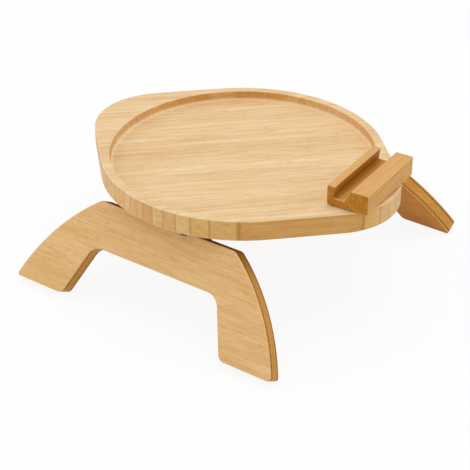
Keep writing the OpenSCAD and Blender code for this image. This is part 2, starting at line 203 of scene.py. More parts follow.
def mesh_of(name, bm):
    """A mesh of the finished work, with its faces turned outwards."""
    bmesh.ops.recalc_face_normals(bm, faces=bm.faces)
    mesh = bpy.data.meshes.new(name)
    bm.to_mesh(mesh)
    bm.free()
    return mesh


def stack_rings(bm, rings, closed=True):
    """Skins a stack of rings that have the same number of points, and closes its two ends if asked."""
    loops = [[bm.verts.new(point) for point in ring] for ring in rings]
    count = len(loops[0])
    for low, high in zip(loops, loops[1:]):
        for i in range(count):
            j = (i + 1) % count
            bm.faces.new((low[i], low[j], high[j], high[i]))
    if closed:
        bm.faces.new(list(reversed(loops[0])))
        bm.faces.new(loops[-1])
    return loops


def eased_levels(depth, arris, beside):
    """(inset, height) pairs across a thickness whose two edges are eased by a small radius."""
    lower = [(arris + beside, 0.0)]
    for i in range(EASE_STEPS + 1):
        turn = math.pi / 2 * i / EASE_STEPS
        lower.append((arris * (1 - math.sin(turn)), arris * (1 - math.cos(turn))))
    lower.append((0.0, arris + beside))
    return lower + [(inset, depth - height) for inset, height in reversed(lower)]


def inset_directions(outline):
    """For each point of a counterclockwise outline, the step inwards that moves both its edges by one."""
    made = []
    count = len(outline)
    for i in range(count):
        before = (outline[i] - outline[i - 1]).normalized()
        after = (outline[(i + 1) % count] - outline[i]).normalized()
        inward_before = Vector((-before.y, before.x))
        inward_after = Vector((-after.y, after.x))
        made.append((inward_before + inward_after) / (1 + inward_before.dot(inward_after)))
    return made


def eased_solid(name, outline, depth, arris, beside, place, share=lambda point: 1.0):
    """A flat counterclockwise outline given a thickness, with eased edges. place maps x, y and height
    to the tray's frame, and share is the part of the easing that each point of the outline gets."""
    steps_in = inset_directions(outline)
    shares = [share(point) for point in outline]
    rings = []
    for inset, height in eased_levels(depth, arris, beside):
        ring = []
        for point, step, part in zip(outline, steps_in, shares):
            level = height * part if height < depth / 2 else depth - (depth - height) * part
            ring.append(place(point.x + step.x * inset * part, point.y + step.y * inset * part, level))
        rings.append(ring)
    bm = bmesh.new()
    stack_rings(bm, rings)
    return mesh_of(name, bm)


def corner_arc(before, corner, after, radius, steps):
    """Points that round a corner of an outline."""
    to_before = (before - corner).normalized()
    to_after = (after - corner).normalized()
    half = math.acos(max(-1, min(1, to_before.dot(to_after)))) / 2
    centre = corner + (to_before + to_after).normalized() * (radius / math.sin(half))
    start = corner + to_before * (radius / math.tan(half)) - centre
    cross = (corner - before).cross(after - corner)
    turn = (math.pi - 2 * half) * (1 if cross > 0 else -1)
    return [centre + Matrix.Rotation(turn * i / steps, 2) @ start for i in range(steps + 1)]


def rounded_outline(corners):
    """An outline from (x, y, radius) corners, each rounded by its radius."""
    points = []
    count = len(corners)
    for i, (x, y, radius) in enumerate(corners):
        before = Vector(corners[i - 1][:2])
        after = Vector(corners[(i + 1) % count][:2])
        points += corner_arc(before, Vector((x, y)), after, radius, 6)
    return points


def turned_solid(name, profile, place):
    """A closed turned piece from (radius, height) points that start and end on the axis."""
    turns = [2 * math.pi * i / ROUND_STEPS for i in range(ROUND_STEPS)]
    rings = []
    for radius, height in profile[1:-1]:
        rings.append([place(radius * math.cos(turn), radius * math.sin(turn), height) for turn in turns])
    bm = bmesh.new()
    loops = stack_rings(bm, rings, closed=False)
    for loop, (_, height) in ((loops[0], profile[0]), (loops[-1], profile[-1])):
        pole = bm.verts.new(place(0, 0, height))
        for i in range(ROUND_STEPS):
            bm.faces.new((loop[i], loop[(i + 1) % ROUND_STEPS], pole))
    return mesh_of(name, bm)


def plain_mesh(source):
    """The final shape of an object as a mesh, and the object removed."""
    bpy.context.view_layer.update()
    depsgraph = bpy.context.evaluated_depsgraph_get()
    mesh = bpy.data.meshes.new_from_object(source.evaluated_get(depsgraph), depsgraph=depsgraph)
    bpy.data.objects.remove(source)
    return mesh


def bored(mesh, holes):
    """The mesh with upright round holes cut in it, each a (centre of its low end, radius, length)."""
    piece = new_object("uncut", mesh)
    cutters = []
    for centre, radius, length in holes:
        bm = bmesh.new()
        bmesh.ops.create_cone(
            bm, cap_ends=True, segments=ROUND_STEPS, radius1=radius, radius2=radius, depth=length,
            matrix=Matrix.Translation(centre + UP * (length / 2)),
        )
        cutter = new_object("cutter", mesh_of("cutter", bm))
        cut = piece.modifiers.new("hole", "BOOLEAN")
        cut.operation = "DIFFERENCE"
        cut.solver = "EXACT"
        cut.object = cutter
        cutters.append(cutter)
    made = plain_mesh(piece)
    for cutter in cutters:
        bpy.data.objects.remove(cutter)
    return made


# Materials


def feed(links, socket, value):
    """Links a node's output to a socket, or writes a plain value on the socket."""
    if isinstance(value, bpy.types.NodeSocket):
        links.new(value, socket)
    elif isinstance(value, Vector):
        socket.default_value = value[:]
    else:
        socket.default_value = value


def feed_all(links, node, values):
    """Feeds a node's inputs in order."""
    for socket, value in zip(node.inputs, values):
        feed(links, socket, value)


class Finish:
    """One material's nodes, with short calls for those that the finishes share."""

    def __init__(self, name):
        self.material = bpy.data.materials.new(name)
        self.material.use_nodes = True
        self.nodes = self.material.node_tree.nodes
        self.links = self.material.node_tree.links
        self.surface = self.nodes["Principled BSDF"]
        place = self.nodes.new("ShaderNodeTexCoord")
        self.spot = place.outputs["Object"]
        self.normal = place.outputs["Normal"]

    def give(self, label, value):
        """Feeds one input of the surface."""
        feed(self.links, self.surface.inputs[label], value)

    def calc(self, operation, *values, clamp=False):
        node = self.nodes.new("ShaderNodeMath")
        node.operation = operation
        node.use_clamp = clamp
        feed_all(self.links, node, values)
        return node.outputs[0]

    def vector(self, operation, *values):
        node = self.nodes.new("ShaderNodeVectorMath")
        node.operation = operation
        feed_all(self.links, node, values)
        return node.outputs["Value" if operation == "DOT_PRODUCT" else "Vector"]

    def join(self, x, y, z):
        node = self.nodes.new("ShaderNodeCombineXYZ")
        feed_all(self.links, node, (x, y, z))
        return node.outputs[0]

    def noise(self, place, scale, detail=3.0, roughness=0.5):
        node = self.nodes.new("ShaderNodeTexNoise")
        node.noise_dimensions = "3D"
        feed(self.links, node.inputs["Vector"], place)
        node.inputs["Scale"].default_value = scale
        node.inputs["Detail"].default_value = detail
        node.inputs["Roughness"].default_value = roughness
        return node.outputs["Fac"]

    def strips(self, across, width, randomness, feature="F1"):
        """Cells of about one width: a tone for each with F1, or the distance to its nearest edge."""
        node = self.nodes.new("ShaderNodeTexVoronoi")
        node.voronoi_dimensions = "1D"
        node.feature = feature
        feed(self.links, node.inputs["W"], across)
        node.inputs["Scale"].default_value = 1 / width
        node.inputs["Randomness"].default_value = randomness
        return node.outputs["Color" if feature == "F1" else "Distance"]

    def span(self, value, low, high, to_low=0.0, to_high=1.0, smooth=True):
        """Maps low to high onto to_low to to_high, and holds it beyond them."""
        node = self.nodes.new("ShaderNodeMapRange")
        node.interpolation_type = "SMOOTHSTEP" if smooth else "LINEAR"
        feed(self.links, node.inputs["Value"], value)
        for socket, number in zip(list(node.inputs)[1:5], (low, high, to_low, to_high)):
            socket.default_value = number
        return node.outputs[0]

    def mix(self, factor, first, second, blend="MIX"):
        node = self.nodes.new("ShaderNodeMix")
        node.data_type = "RGBA"
        node.blend_type = blend
        colour_sockets = [s for s in node.inputs if s.type == "RGBA"]
        feed(self.links, node.inputs[0], factor)
        for socket, value in zip(colour_sockets, (first, second)):
            if isinstance(value, tuple):
                value = (*value, 1.0)
            feed(self.links, socket, value)
        return next(s for s in node.outputs if s.type == "RGBA")

    def bump(self, height, distance, strength):
        node = self.nodes.new("ShaderNodeBump")
        node.inputs["Strength"].default_value = strength
        node.inputs["Distance"].default_value = distance
        feed(self.links, node.inputs["Height"], height)
        self.give("Normal", node.outputs[0])


def linear(red, green, blue):
    """A colour from its 0 to 255 screen values."""
    made = []
    for value in (red, green, blue):
        share = value / 255
        made.append(share / 12.92 if share <= 0.04045 else ((share + 0.055) / 1.055) ** 2.4)
    return tuple(made)


# How often each mark of the wood comes in a metre: along the fibres, over the strips, into the depth
DRIFTS = Vector((7, 60, 25))
STREAKS = Vector((16, 330, 330))
LINES = Vector((34, 1100, 1100))
DASHES = Vector((95, 1300, 1300))
PATCHES = Vector((60, 160, 60))
PORES = Vector((420, 420, 420))
CULM_NODES = 3.1
NODE_STAIN = 0.3

# Where the noise behind each mark starts to show, and where it shows fully
STREAK_SPAN = (0.40, 0.64)
LINE_SPAN = (0.42, 0.66)
DASH_SPAN = (0.56, 0.72)
PATCH_SPAN = (0.45, 0.6)
PORE_SPAN = (0.38, 0.62)
NODE_SPAN = (0.0, 0.012)
FINE_SPAN = (0.2, 0.8)

# How squarely a surface faces one of the wood's directions, from none of its look to all of it
WALL_SPAN = (0.15, 0.85)
END_SPAN = (0.3, 0.95)
# From where the painted shade on the panels' top edges starts to where it is full
TOP_EDGE_SPAN = (0.66, 0.84)
OFF_WALL_SPAN = (0.3, 0.65)
OFF_FACE_SPAN = (0.9, 0.995)

# How far the fibres of a strip may slide against those of the next
STRIP_SLIDE = 3.7

# Half widths of the glue lines and of the ply lines, from dark to clear
GLUE_LINE = (0.1 * MM, 0.65 * MM)
PLY_LINE = (0.4 * MM, 1.2 * MM)

# A wall counts as an outer one where it looks away from the middle by this much
OUTWARD = 20 * MM

# Where the painted shade in the slot fades, across the block and up it
SHADE_OVER = (-14 * MM, -4 * MM)
SHADE_DEEP = (9 * MM, 20 * MM)

LACQUER_IOR = 1.45
WALL_GLOSS = 0.08
FACE_GLOSS = 0.16
GRAIN_RELIEF = 0.05 * MM


class Bamboo(Finish):
    """Lacquered laminated bamboo. grain, across and face are the wood's own directions: along the fibres,
    over the strips, and out of the show face. tones holds the colours and the sizes of the strips."""

    def __init__(self, name, origin, grain, across, face, tones):
        super().__init__(name)
        self.tones = tones
        self.point = self.vector("SUBTRACT", self.spot, origin)
        self.along = self.vector("DOT_PRODUCT", self.point, grain)
        self.over = self.vector("DOT_PRODUCT", self.point, across)
        self.deep = self.vector("DOT_PRODUCT", self.point, face)
        end_cut = self.calc("ABSOLUTE", self.vector("DOT_PRODUCT", self.normal, grain))
        self.facing = self.calc("ABSOLUTE", self.vector("DOT_PRODUCT", self.normal, face))
        self.wall = self.span(self.facing, *WALL_SPAN, 1.0, 0.0)
        self.end = self.span(end_cut, *END_SPAN)
        self.across = across
        self.lay_strips()
        self.draw_fibres()
        self.stain_walls()
        if tones["plies"]:
            self.stain_plies()
        self.pale_and_highlight_edges()
        # Painted shade inside the phone block's slot
        if tones["painted_slot_shade"]:
            self.paint_slot_shade()
        self.give("Base Color", self.colour)
        self.polish()

    def product(self, first, second):
        return self.calc("MULTIPLY", first, second)

    def off_middle(self, value, contrast):
        """A 0 to 1 value moved to lie about zero, and scaled."""
        return self.product(self.calc("SUBTRACT", value, 0.5), contrast)

    def stain(self, share, tint):
        """Darkens the wood by a tint where share is above zero."""
        self.colour = self.mix(share, self.colour, tint, "MULTIPLY")

    def marks(self, often, detail=2.0, roughness=0.5):
        """Noise stretched along the strips."""
        return self.noise(self.vector("MULTIPLY", self.lay, often), 1.0, detail, roughness)

    def lay_strips(self):
        """Strips, each with a tone and fibres of its own, and a thin glue line beside it."""
        tones = self.tones
        width = tones["strip"]
        row = self.calc("ADD", self.over, tones["strip_shift"])
        cell = self.strips(row, width, tones["strip_wander"])
        seam = self.strips(row, width, tones["strip_wander"], "DISTANCE_TO_EDGE")
        tone = self.vector("DOT_PRODUCT", cell, Vector((0.5, 0.5, 0.0)))
        self.glue = self.span(seam, GLUE_LINE[0] / width, GLUE_LINE[1] / width, 1.0, 0.0)
        self.slid = self.calc("ADD", self.along, self.product(tone, STRIP_SLIDE))
        self.lay = self.join(self.slid, self.over, self.deep)
        contrast = tones["strip_contrast"]
        contrast = self.span(self.wall, 0.0, 1.0, contrast, contrast * 1.4, False)
        strip_part = self.off_middle(tone, contrast)
        drift_part = self.off_middle(self.marks(DRIFTS), tones["drift_contrast"])
        level = self.calc("ADD", self.calc("ADD", strip_part, drift_part), 0.5, clamp=True)
        self.colour = self.mix(level, tones["dark"], tones["light"])

    def draw_fibres(self):
        """Long soft streaks, fine lines, short dark dashes that end as dots on a cut end, the culm's
        nodes as darker smears now and then, and the glue lines, which show most on the outer walls."""
        tones = self.tones
        self.streak = self.marks(STREAKS, 3.0, 0.55)
        line = self.span(self.marks(LINES), *LINE_SPAN)
        self.dash = self.span(self.marks(DASHES), *DASH_SPAN)
        self.stain(self.product(self.span(self.streak, *STREAK_SPAN), tones["streaks"]), tones["streak"])
        self.stain(self.product(line, tones["lines"]), tones["streak"])
        self.stain(self.product(self.dash, tones["dashes"]), tones["dash"])
        row = self.calc("FRACT", self.product(self.slid, CULM_NODES))
        near = self.calc("ABSOLUTE", self.calc("SUBTRACT", row, 0.5))
        patchy = self.span(self.marks(PATCHES, 3.0), *PATCH_SPAN)
        smear = self.product(self.span(near, *NODE_SPAN, 1.0, 0.0), patchy)
        self.stain(self.product(smear, NODE_STAIN), tones["dash"])
        outward = self.span(self.vector("DOT_PRODUCT", self.point, self.normal), -OUTWARD, OUTWARD)
        outer = self.product(self.wall, outward)
        glued = self.calc("MULTIPLY_ADD", outer, tones["glue"] * 2, tones["glue"])
        self.stain(self.product(self.glue, glued), tones["glue_tint"])

    def stain_walls(self):
        """Sawn walls are more golden than the sanded face, and cut ends duller again and mottled."""
        tones = self.tones
        self.stain(self.wall, self.mix(self.end, tones["wall"], tones["end"]))
        pores = self.noise(self.vector("MULTIPLY", self.point, PORES), 1.0, 2.0)
        mottled = self.product(self.end, tones["mottle"])
        self.stain(self.product(self.span(pores, *PORE_SPAN), mottled), tones["dash"])

    def stain_plies(self):
        """Lines between the plies, the darker core there, and painted shade on the inner face and on the
        top edge.
        """
        tones = self.tones
        back, front = tones["plies"]
        for depth in (back, front):
            near = self.calc("ABSOLUTE", self.calc("SUBTRACT", self.deep, depth))
            self.stain(self.product(self.span(near, *PLY_LINE, 1.0, 0.0), self.wall), tones["ply_line"])
        past_back = self.calc("GREATER_THAN", self.deep, back)
        core = self.product(past_back, self.calc("LESS_THAN", self.deep, front))
        self.stain(core, tones["core"])
        # Painted shade on the inner face, which lies under the board, warm as if lit by the wood around
        # it
        behind = self.calc("LESS_THAN", self.deep, back)
        self.stain(self.product(behind, self.calc("SUBTRACT", 1.0, self.wall)), tones["back"])
        # Painted shade on the top edge, which lies just under the board
        self.upper = self.span(self.vector("DOT_PRODUCT", self.normal, self.across), *TOP_EDGE_SPAN)
        self.stain(self.upper, tones["painted_top_edge_shade"])

    def pale_and_highlight_edges(self):
        """The eased edges are a little paler, partly from sanding and partly as a painted highlight."""
        tones = self.tones
        off_wall = self.span(self.facing, *OFF_WALL_SPAN)
        off_face = self.span(self.facing, *OFF_FACE_SPAN, 1.0, 0.0)
        share = self.product(self.product(off_wall, off_face), tones["eased"])
        self.colour = self.mix(share, self.colour, tones["edge"])

    def paint_slot_shade(self):
        """Paints a shade on the slot's marked faces, darkest at the back of the slot and low in it."""
        mark = self.nodes.new("ShaderNodeAttribute")
        mark.attribute_name = "slot_faces"
        shade = self.product(mark.outputs["Fac"], self.span(self.over, *SHADE_OVER, 1.0, 0.25))
        shade = self.product(shade, self.span(self.deep, *SHADE_DEEP, 1.0, 0.7))
        self.stain(shade, self.tones["painted_slot_shade"])

    def polish(self):
        """Satin lacquer, glossier on the show face than on the walls, with the grain just felt."""
        rough = self.tones["rough"]
        self.give("Roughness", self.span(self.streak, *FINE_SPAN, rough - 0.05, rough + 0.06, False))
        self.give("IOR", LACQUER_IOR)
        gloss = self.span(self.facing, 0.0, 1.0, WALL_GLOSS, FACE_GLOSS, False)
        if self.tones["plies"]:
            gloss = self.product(gloss, self.calc("SUBTRACT", 1.0, self.upper))
        self.give("Specular IOR Level", (WALL_GLOSS + FACE_GLOSS) / 2)
        self.give("Specular IOR Level", gloss)
        relief = self.calc("SUBTRACT", self.product(self.streak, 0.5), self.product(self.dash, 0.8))
        self.bump(self.calc("SUBTRACT", relief, self.glue), GRAIN_RELIEF, 0.35)


# Blotches on metal and rubbed places on rubber, in a metre, and what they do to the colour
BLOTCHES = 90
BLOTCH_SHADE = 0.72
SCRATCHES = 900
SCRATCH_ROUGH = 0.18
RUBBED_PLACES = 160
RUBBED_SHADE = 1.35


def metal(name, colour, roughness, brushed_axis=None, scratches=SCRATCHES):
    """Steel or brass with fine scratches, blotches and a little grime."""
    plate = Finish(name)
    spot = plate.spot
    if brushed_axis is not None:
        spot = plate.vector("MULTIPLY", spot, brushed_axis)
    scratch = plate.noise(spot, scratches, 3.0, 0.6)
    blotch = plate.noise(plate.spot, BLOTCHES, 2.0)
    grime = tuple(c * BLOTCH_SHADE for c in colour)
    plate.give("Base Color", plate.mix(plate.span(blotch, 0.3, 0.75), colour, grime))
    rough = plate.calc("MULTIPLY", scratch, SCRATCH_ROUGH)
    plate.give("Roughness", plate.calc("ADD", rough, roughness - SCRATCH_ROUGH / 2))
    plate.give("Metallic", 1.0)
    plate.bump(scratch, 0.02 * MM, 0.3)
    return plate.material


def moulded(name, colour, roughness, grain_scale, grain_depth):
    """Rubber or nylon with a fine moulded grain, paler where it is rubbed."""
    skin = Finish(name)
    grain = skin.noise(skin.spot, grain_scale, 2.0)
    wear = skin.noise(skin.spot, RUBBED_PLACES)
    rubbed = tuple(min(1, c * RUBBED_SHADE + 0.01) for c in colour)
    skin.give("Base Color", skin.mix(skin.span(wear, 0.45, 0.8), colour, rubbed))
    skin.give("Roughness", skin.span(grain, *FINE_SPAN, roughness - 0.06, roughness + 0.06))
    skin.give("Specular IOR Level", 0.25)
    skin.bump(grain, grain_depth, 0.5)
    return skin.material


BOARD_TONES = {
    "strip": 8.1 * MM, "strip_shift": 5.45 * MM, "strip_wander": 0.3,
    "strip_contrast": 0.75, "drift_contrast": 1.1,
    "light": linear(243, 219, 182), "dark": linear(227, 190, 142),
    "streak": (0.91, 0.84, 0.70), "streaks": 0.75, "lines": 0.75,
    "dash": (0.78, 0.66, 0.48), "dashes": 0.6,
    "glue": 0.2, "glue_tint": (0.66, 0.50, 0.34),
    "wall": (0.85, 0.71, 0.44), "end": (0.95, 0.86, 0.75), "mottle": 0.15,
    # The edge colour and its share give the eased edges sanded paleness and a painted highlight
    "edge": linear(252, 230, 188), "eased": 0.3,
    "plies": (), "painted_slot_shade": None, "rough": 0.45,
}
PANEL_TONES = dict(
    BOARD_TONES, strip=19 * MM, strip_shift=0.0, strip_contrast=0.3, drift_contrast=1.2,
    light=linear(239, 201, 148), dark=linear(222, 180, 124),
    streaks=0.65, lines=0.8, dashes=0.85, glue=0.06,
    wall=(0.93, 0.80, 0.58), end=(0.88, 0.75, 0.54),
    plies=(PIN_DROP + 2.3 * MM, PIN_DROP + PANEL_T - 2.8 * MM),
    ply_line=(0.50, 0.36, 0.16), core=(0.90, 0.84, 0.58),
    # The first two tints on the next line are painted shade, on the inner face and on the top edge
    back=(0.81, 0.51, 0.09), painted_top_edge_shade=(0.45, 0.34, 0.16), eased=0.15,
)
HOLDER_TONES = dict(
    BOARD_TONES, strip=30 * MM, strip_shift=0.0, strip_contrast=0.2, drift_contrast=0.8,
    light=linear(228, 182, 118), dark=linear(213, 164, 101), dashes=0.6, glue=0.0,
    # The last tint on the next line is the painted shade inside the slot
    wall=(0.97, 0.93, 0.86), end=(0.80, 0.60, 0.24), painted_slot_shade=(0.58, 0.42, 0.05),
    mottle=0.7, eased=0.2,
)

board_wood = Bamboo(
    "board_bamboo", Vector((0, 0, 0)), Vector((DIAGONAL, DIAGONAL, 0)), Vector((DIAGONAL, -DIAGONAL, 0)),
    UP, BOARD_TONES,
).material
panel_wood = {}
for side in SIDES:
    leaning = panel_place(side)
    turned = leaning.to_3x3()
    panel_wood[side] = Bamboo(
        side + "_panel_bamboo", leaning.translation, turned @ Vector((1, 0, 0)), turned @ UP,
        turned @ Vector((0, 1, 0)), PANEL_TONES,
    ).material
pivot = joint_place["holder_turn"]
block_turn = Matrix.Rotation(HOLDER_TURNED, 3, "Z")
holder_wood = Bamboo(
    "holder_bamboo", pivot, block_turn @ Vector((0, 1, 0)), block_turn @ Vector((1, 0, 0)), UP,
    HOLDER_TONES,
).material
steel = metal("pressed_steel", (0.60, 0.60, 0.61), 0.34, Vector((1, 12, 12)), 240)
zinc = metal("zinc_plate", (0.66, 0.66, 0.67), 0.30)
wire_steel = metal("spring_wire", (0.42, 0.42, 0.44), 0.36)
brass = metal("turned_brass", (0.70, 0.52, 0.22), 0.28)
nylon = moulded("natural_nylon", (0.78, 0.76, 0.70), 0.45, 900, 0.02 * MM)
rubber = moulded("black_rubber", (0.018, 0.018, 0.018), 0.62, 1400, 0.04 * MM)


# The board


def board_reach(turn):
    """The board's outline at an angle from X: its radius there, and the outward direction of its edge."""
    heading = Vector((math.cos(turn), math.sin(turn)))
    flip = Vector((1 if heading.x >= 0 else -1, 1 if heading.y >= 0 else -1))
    first = Vector((abs(heading.x), abs(heading.y)))
    angle = math.atan2(first.y, first.x)
    ear_end = math.atan2(EAR_R * DIAGONAL, EAR_OUT + EAR_R * DIAGONAL)
    if angle < ear_end:
        reach = EAR_OUT * first.x + math.sqrt(EAR_R**2 - (EAR_OUT * first.y) ** 2)
        out = (first * reach - Vector((EAR_OUT, 0))).normalized()
    elif angle < math.pi / 4:
        reach = BOARD_R / math.cos(math.pi / 4 - angle)
        out = Vector((DIAGONAL, DIAGONAL))
    else:
        reach = BOARD_R
        out = first
    return reach, Vector((out.x * flip.x, out.y * flip.y))


def dish_profile(top):
    """(radius, height) points of the dish, from its lip down the wall and round the cove to its floor."""
    lip_steps = 4
    cove_steps = 6
    wall_r = BOARD_R - RIM_W
    floor_z = top - DISH_DEPTH
    points = [(wall_r + DISH_LIP + BESIDE_EDGE, top)]
    for i in range(lip_steps + 1):
        bend = math.pi / 2 * i / lip_steps
        points.append((wall_r + DISH_LIP * (1 - math.sin(bend)), top - DISH_LIP * (1 - math.cos(bend))))
    points.append((wall_r, top - DISH_LIP - BESIDE_EDGE))
    points.append((wall_r, floor_z + DISH_COVE + BESIDE_EDGE))
    for i in range(cove_steps + 1):
        bend = math.pi / 2 * i / cove_steps
        radius = wall_r - DISH_COVE * (1 - math.cos(bend))
        points.append((radius, floor_z + DISH_COVE * (1 - math.sin(bend))))
    points.append((wall_r - DISH_COVE - BESIDE_EDGE, floor_z))
    return points


def build_board():
    low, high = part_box("tray_board")
    turns = [2 * math.pi * i / BOARD_POINTS for i in range(BOARD_POINTS)]
    edge = [board_reach(turn) for turn in turns]
    rings = []
    for inset, height in eased_levels(high.z - low.z, BOARD_ARRIS, BESIDE_EDGE):
        ring = []
        for turn, (reach, out) in zip(turns, edge):
            x = max(low.x, min(high.x, reach * math.cos(turn) - out.x * inset))
            y = reach * math.sin(turn) - out.y * inset
            ring.append((x, y, low.z + height))
        rings.append(ring)
    for radius, height in dish_profile(high.z):
        rings.append([(radius * math.cos(turn), radius * math.sin(turn), height) for turn in turns])
    bm = bmesh.new()
    stack_rings(bm, rings)
    below = Vector((pivot.x, 0, low.z - MM))
    holes = [(below, PIVOT_HOLE_R, THROUGH_CUT), (below, PIVOT_POCKET_R, POCKET_CUT)]
    solid = bored(mesh_of("board", bm), holes)
    add_piece("board", solid, "tray", "tray_board", board_wood)


# The leg panels


def half_panel_outline():
    """Right half of a panel's outline, from the top edge round to the arch's top; Y runs up the slope."""
    side_steps = 40
    clear_of_toe = 6.9 * MM
    clear_of_top = 9.6 * MM
    top_end = Vector((TOP_HALF, 0))
    toe = Vector((FOOT_OUT, -PANEL_LEN))
    heel = Vector((FOOT_IN, -PANEL_LEN))
    arch_top = Vector((ARCH_HALF, -ARCH_DOWN))
    chord = (toe - top_end).length
    radius = (chord * chord / 4 + SIDE_BOW * SIDE_BOW) / (2 * SIDE_BOW)
    along = (toe - top_end) / chord
    out = Vector((-along.y, along.x))
    centre = (top_end + toe) / 2 - out * (radius - SIDE_BOW)
    half = math.asin(chord / 2 / radius)
    side = []
    for i in range(1, side_steps):
        turn = -half + 2 * half * i / side_steps
        point = centre + radius * (out * math.cos(turn) + along * math.sin(turn))
        if (point - toe).length > clear_of_toe and (point - top_end).length > clear_of_top:
            side.append(point)
    return (
        corner_arc(Vector((0, 0)), top_end, side[0], TOP_CORNER_R, 8)
        + side
        + corner_arc(side[-1], toe, heel, TOE_R, 8)
        + corner_arc(toe, heel, arch_top, HEEL_R, 12)
        + corner_arc(heel, arch_top, Vector((0, arch_top.y)), ARCH_R, 16)
    )


def foot_share(point):
    """The feet are eased least along the edge that stands on the floor."""
    least = 0.25
    fade = 4 * MM
    above = (point.y + PANEL_LEN) / fade
    return least + (1 - least) * max(0.0, min(1.0, above))


def build_panels():
    right = half_panel_outline()
    left = [Vector((-point.x, point.y)) for point in reversed(right)]
    outline = list(reversed(right + left))
    for side in SIDES:
        to_tray = panel_place(side)

        def place(x, y, height, to_tray=to_tray):
            return to_tray @ Vector((x, PIN_DROP + height, y - PANEL_START))

        name = side + "_panel"
        solid = eased_solid(name, outline, PANEL_T, PANEL_ARRIS, BESIDE_EDGE, place, foot_share)
        add_piece(name, solid, PANEL_BODY[side], side + "_leg_panel", panel_wood[side])


# The phone holder


def build_holder():
    deep = HOLDER_H - SLOT_FLOOR
    half = HOLDER_W / 2
    mouth_back = SLOT_BACK + deep * math.tan(SLOT_BACK_LEAN)
    mouth_front = SLOT_FRONT + deep * math.tan(SLOT_FRONT_LEAN)
    to_tray = Matrix.Translation(pivot) @ Matrix.Rotation(HOLDER_TURNED, 4, "Z")
    corners = [
        (-half, 0, BLOCK_CORNER_R),
        (half, 0, BLOCK_CORNER_R),
        (half, HOLDER_H, BLOCK_CORNER_R),
        (mouth_front, HOLDER_H, MOUTH_CORNER_R),
        (SLOT_FRONT, SLOT_FLOOR, FLOOR_CORNER_R),
        (SLOT_BACK, SLOT_FLOOR, FLOOR_CORNER_R),
        (mouth_back, HOLDER_H, MOUTH_CORNER_R),
        (-half, HOLDER_H, BLOCK_CORNER_R),
    ]

    def place(x, y, height):
        return to_tray @ Vector((x, HOLDER_SHIFT + HOLDER_L / 2 - height, y))

    outline = rounded_outline(corners)
    solid = eased_solid("holder", outline, HOLDER_L, HOLDER_ARRIS, HOLDER_BESIDE_EDGE, place)
    solid = bored(solid, [(pivot - UP * MM, PIVOT_HOLE_R, INSERT_CUT)])
    mark_slot(solid, to_tray.inverted(), mouth_front)
    add_piece("phone_block", solid, "holder", "phone_holder", holder_wood)


def mark_slot(mesh, to_block, mouth_front):
    """Marks the slot's own faces, so that the wood there can take a painted shade."""
    near = 0.3 * MM
    rounding = 1.5 * MM
    turn = to_block.to_3x3()
    mark = mesh.attributes.new("slot_faces", "FLOAT", "FACE")
    for face in mesh.polygons:
        centre = to_block @ face.center
        normal = turn @ face.normal
        inside = SLOT_BACK - near < centre.x < mouth_front + near and centre.z > SLOT_FLOOR - near
        on_top = centre.z > HOLDER_H - rounding and normal.z > 0.3
        mark.data[face.index].value = 1.0 if inside and not on_top and abs(normal.y) < 0.5 else 0.0


# Rubber parts

# Bumper profile in millimetres: radius and height up from the foot, then radius and drop from the board
BUMPER_FOOT = ((0, 0.5), (1.6, 0.5), (2.2, 0.25), (2.8, 0), (4.6, 0), (5.2, 0.15), (5.5, 0.5), (5.6, 1.0))
BUMPER_BASE = ((5.9, 0.8), (6, 0.5), (6, 0.1), (5.9, 0), (3, 0), (0, 0))


def build_bumpers():
    for side in SIDES:
        for end in ("left", "right"):
            node = side + "_" + end + "_bumper"
            low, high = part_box(node)
            tall = high.z - low.z
            profile = [(radius * MM, height * MM) for radius, height in BUMPER_FOOT]
            profile += [(radius * MM, tall - drop * MM) for radius, drop in BUMPER_BASE]
            foot = Vector(((low.x + high.x) / 2, (low.y + high.y) / 2, low.z))
            solid = turned_solid(node, profile, lambda x, y, z, foot=foot: foot + Vector((x, y, z)))
            add_piece(side + "_" + end + "_stop", solid, "tray", node, rubber)


def pad_outline():
    """A pad seen along its length: a thin strip with rounded ridges, plain at its two long edges."""
    edge_high = 0.55
    groove_high = 0.6
    margin = 0.03
    outline = [Vector((0, 0)), Vector((PAD_WIDE, 0)), Vector((PAD_WIDE, PAD_THICK * edge_high))]
    count = PAD_RIDGES * RIDGE_POINTS
    for i in range(count + 1):
        share = i / count
        wave = 0.5 - 0.5 * math.cos(2 * math.pi * PAD_RIDGES * share)
        x = PAD_WIDE * ((1 - share) * (1 - 2 * margin) + margin)
        outline.append(Vector((x, PAD_THICK * (groove_high + (1 - groove_high) * wave))))
    outline.append(Vector((0, PAD_THICK * edge_high)))
    return outline


def build_pads():
    outline = pad_outline()
    down = PANEL_START + LEAF_LONG + PAD_GAP + PAD_WIDE
    for side in SIDES:
        to_tray = panel_place(side)

        def place(x, y, height, to_tray=to_tray):
            return to_tray @ Vector((height - PAD_LONG / 2, PIN_DROP - y, x - down))

        solid = eased_solid(side + "_pad", outline, PAD_LONG, PAD_ARRIS, PAD_ARRIS, place)
        name = side + "_ridged_pad"
        add_piece(name, solid, PANEL_BODY[side], side + "_grip_pad", rubber, smooth=False)


# Springs and screws


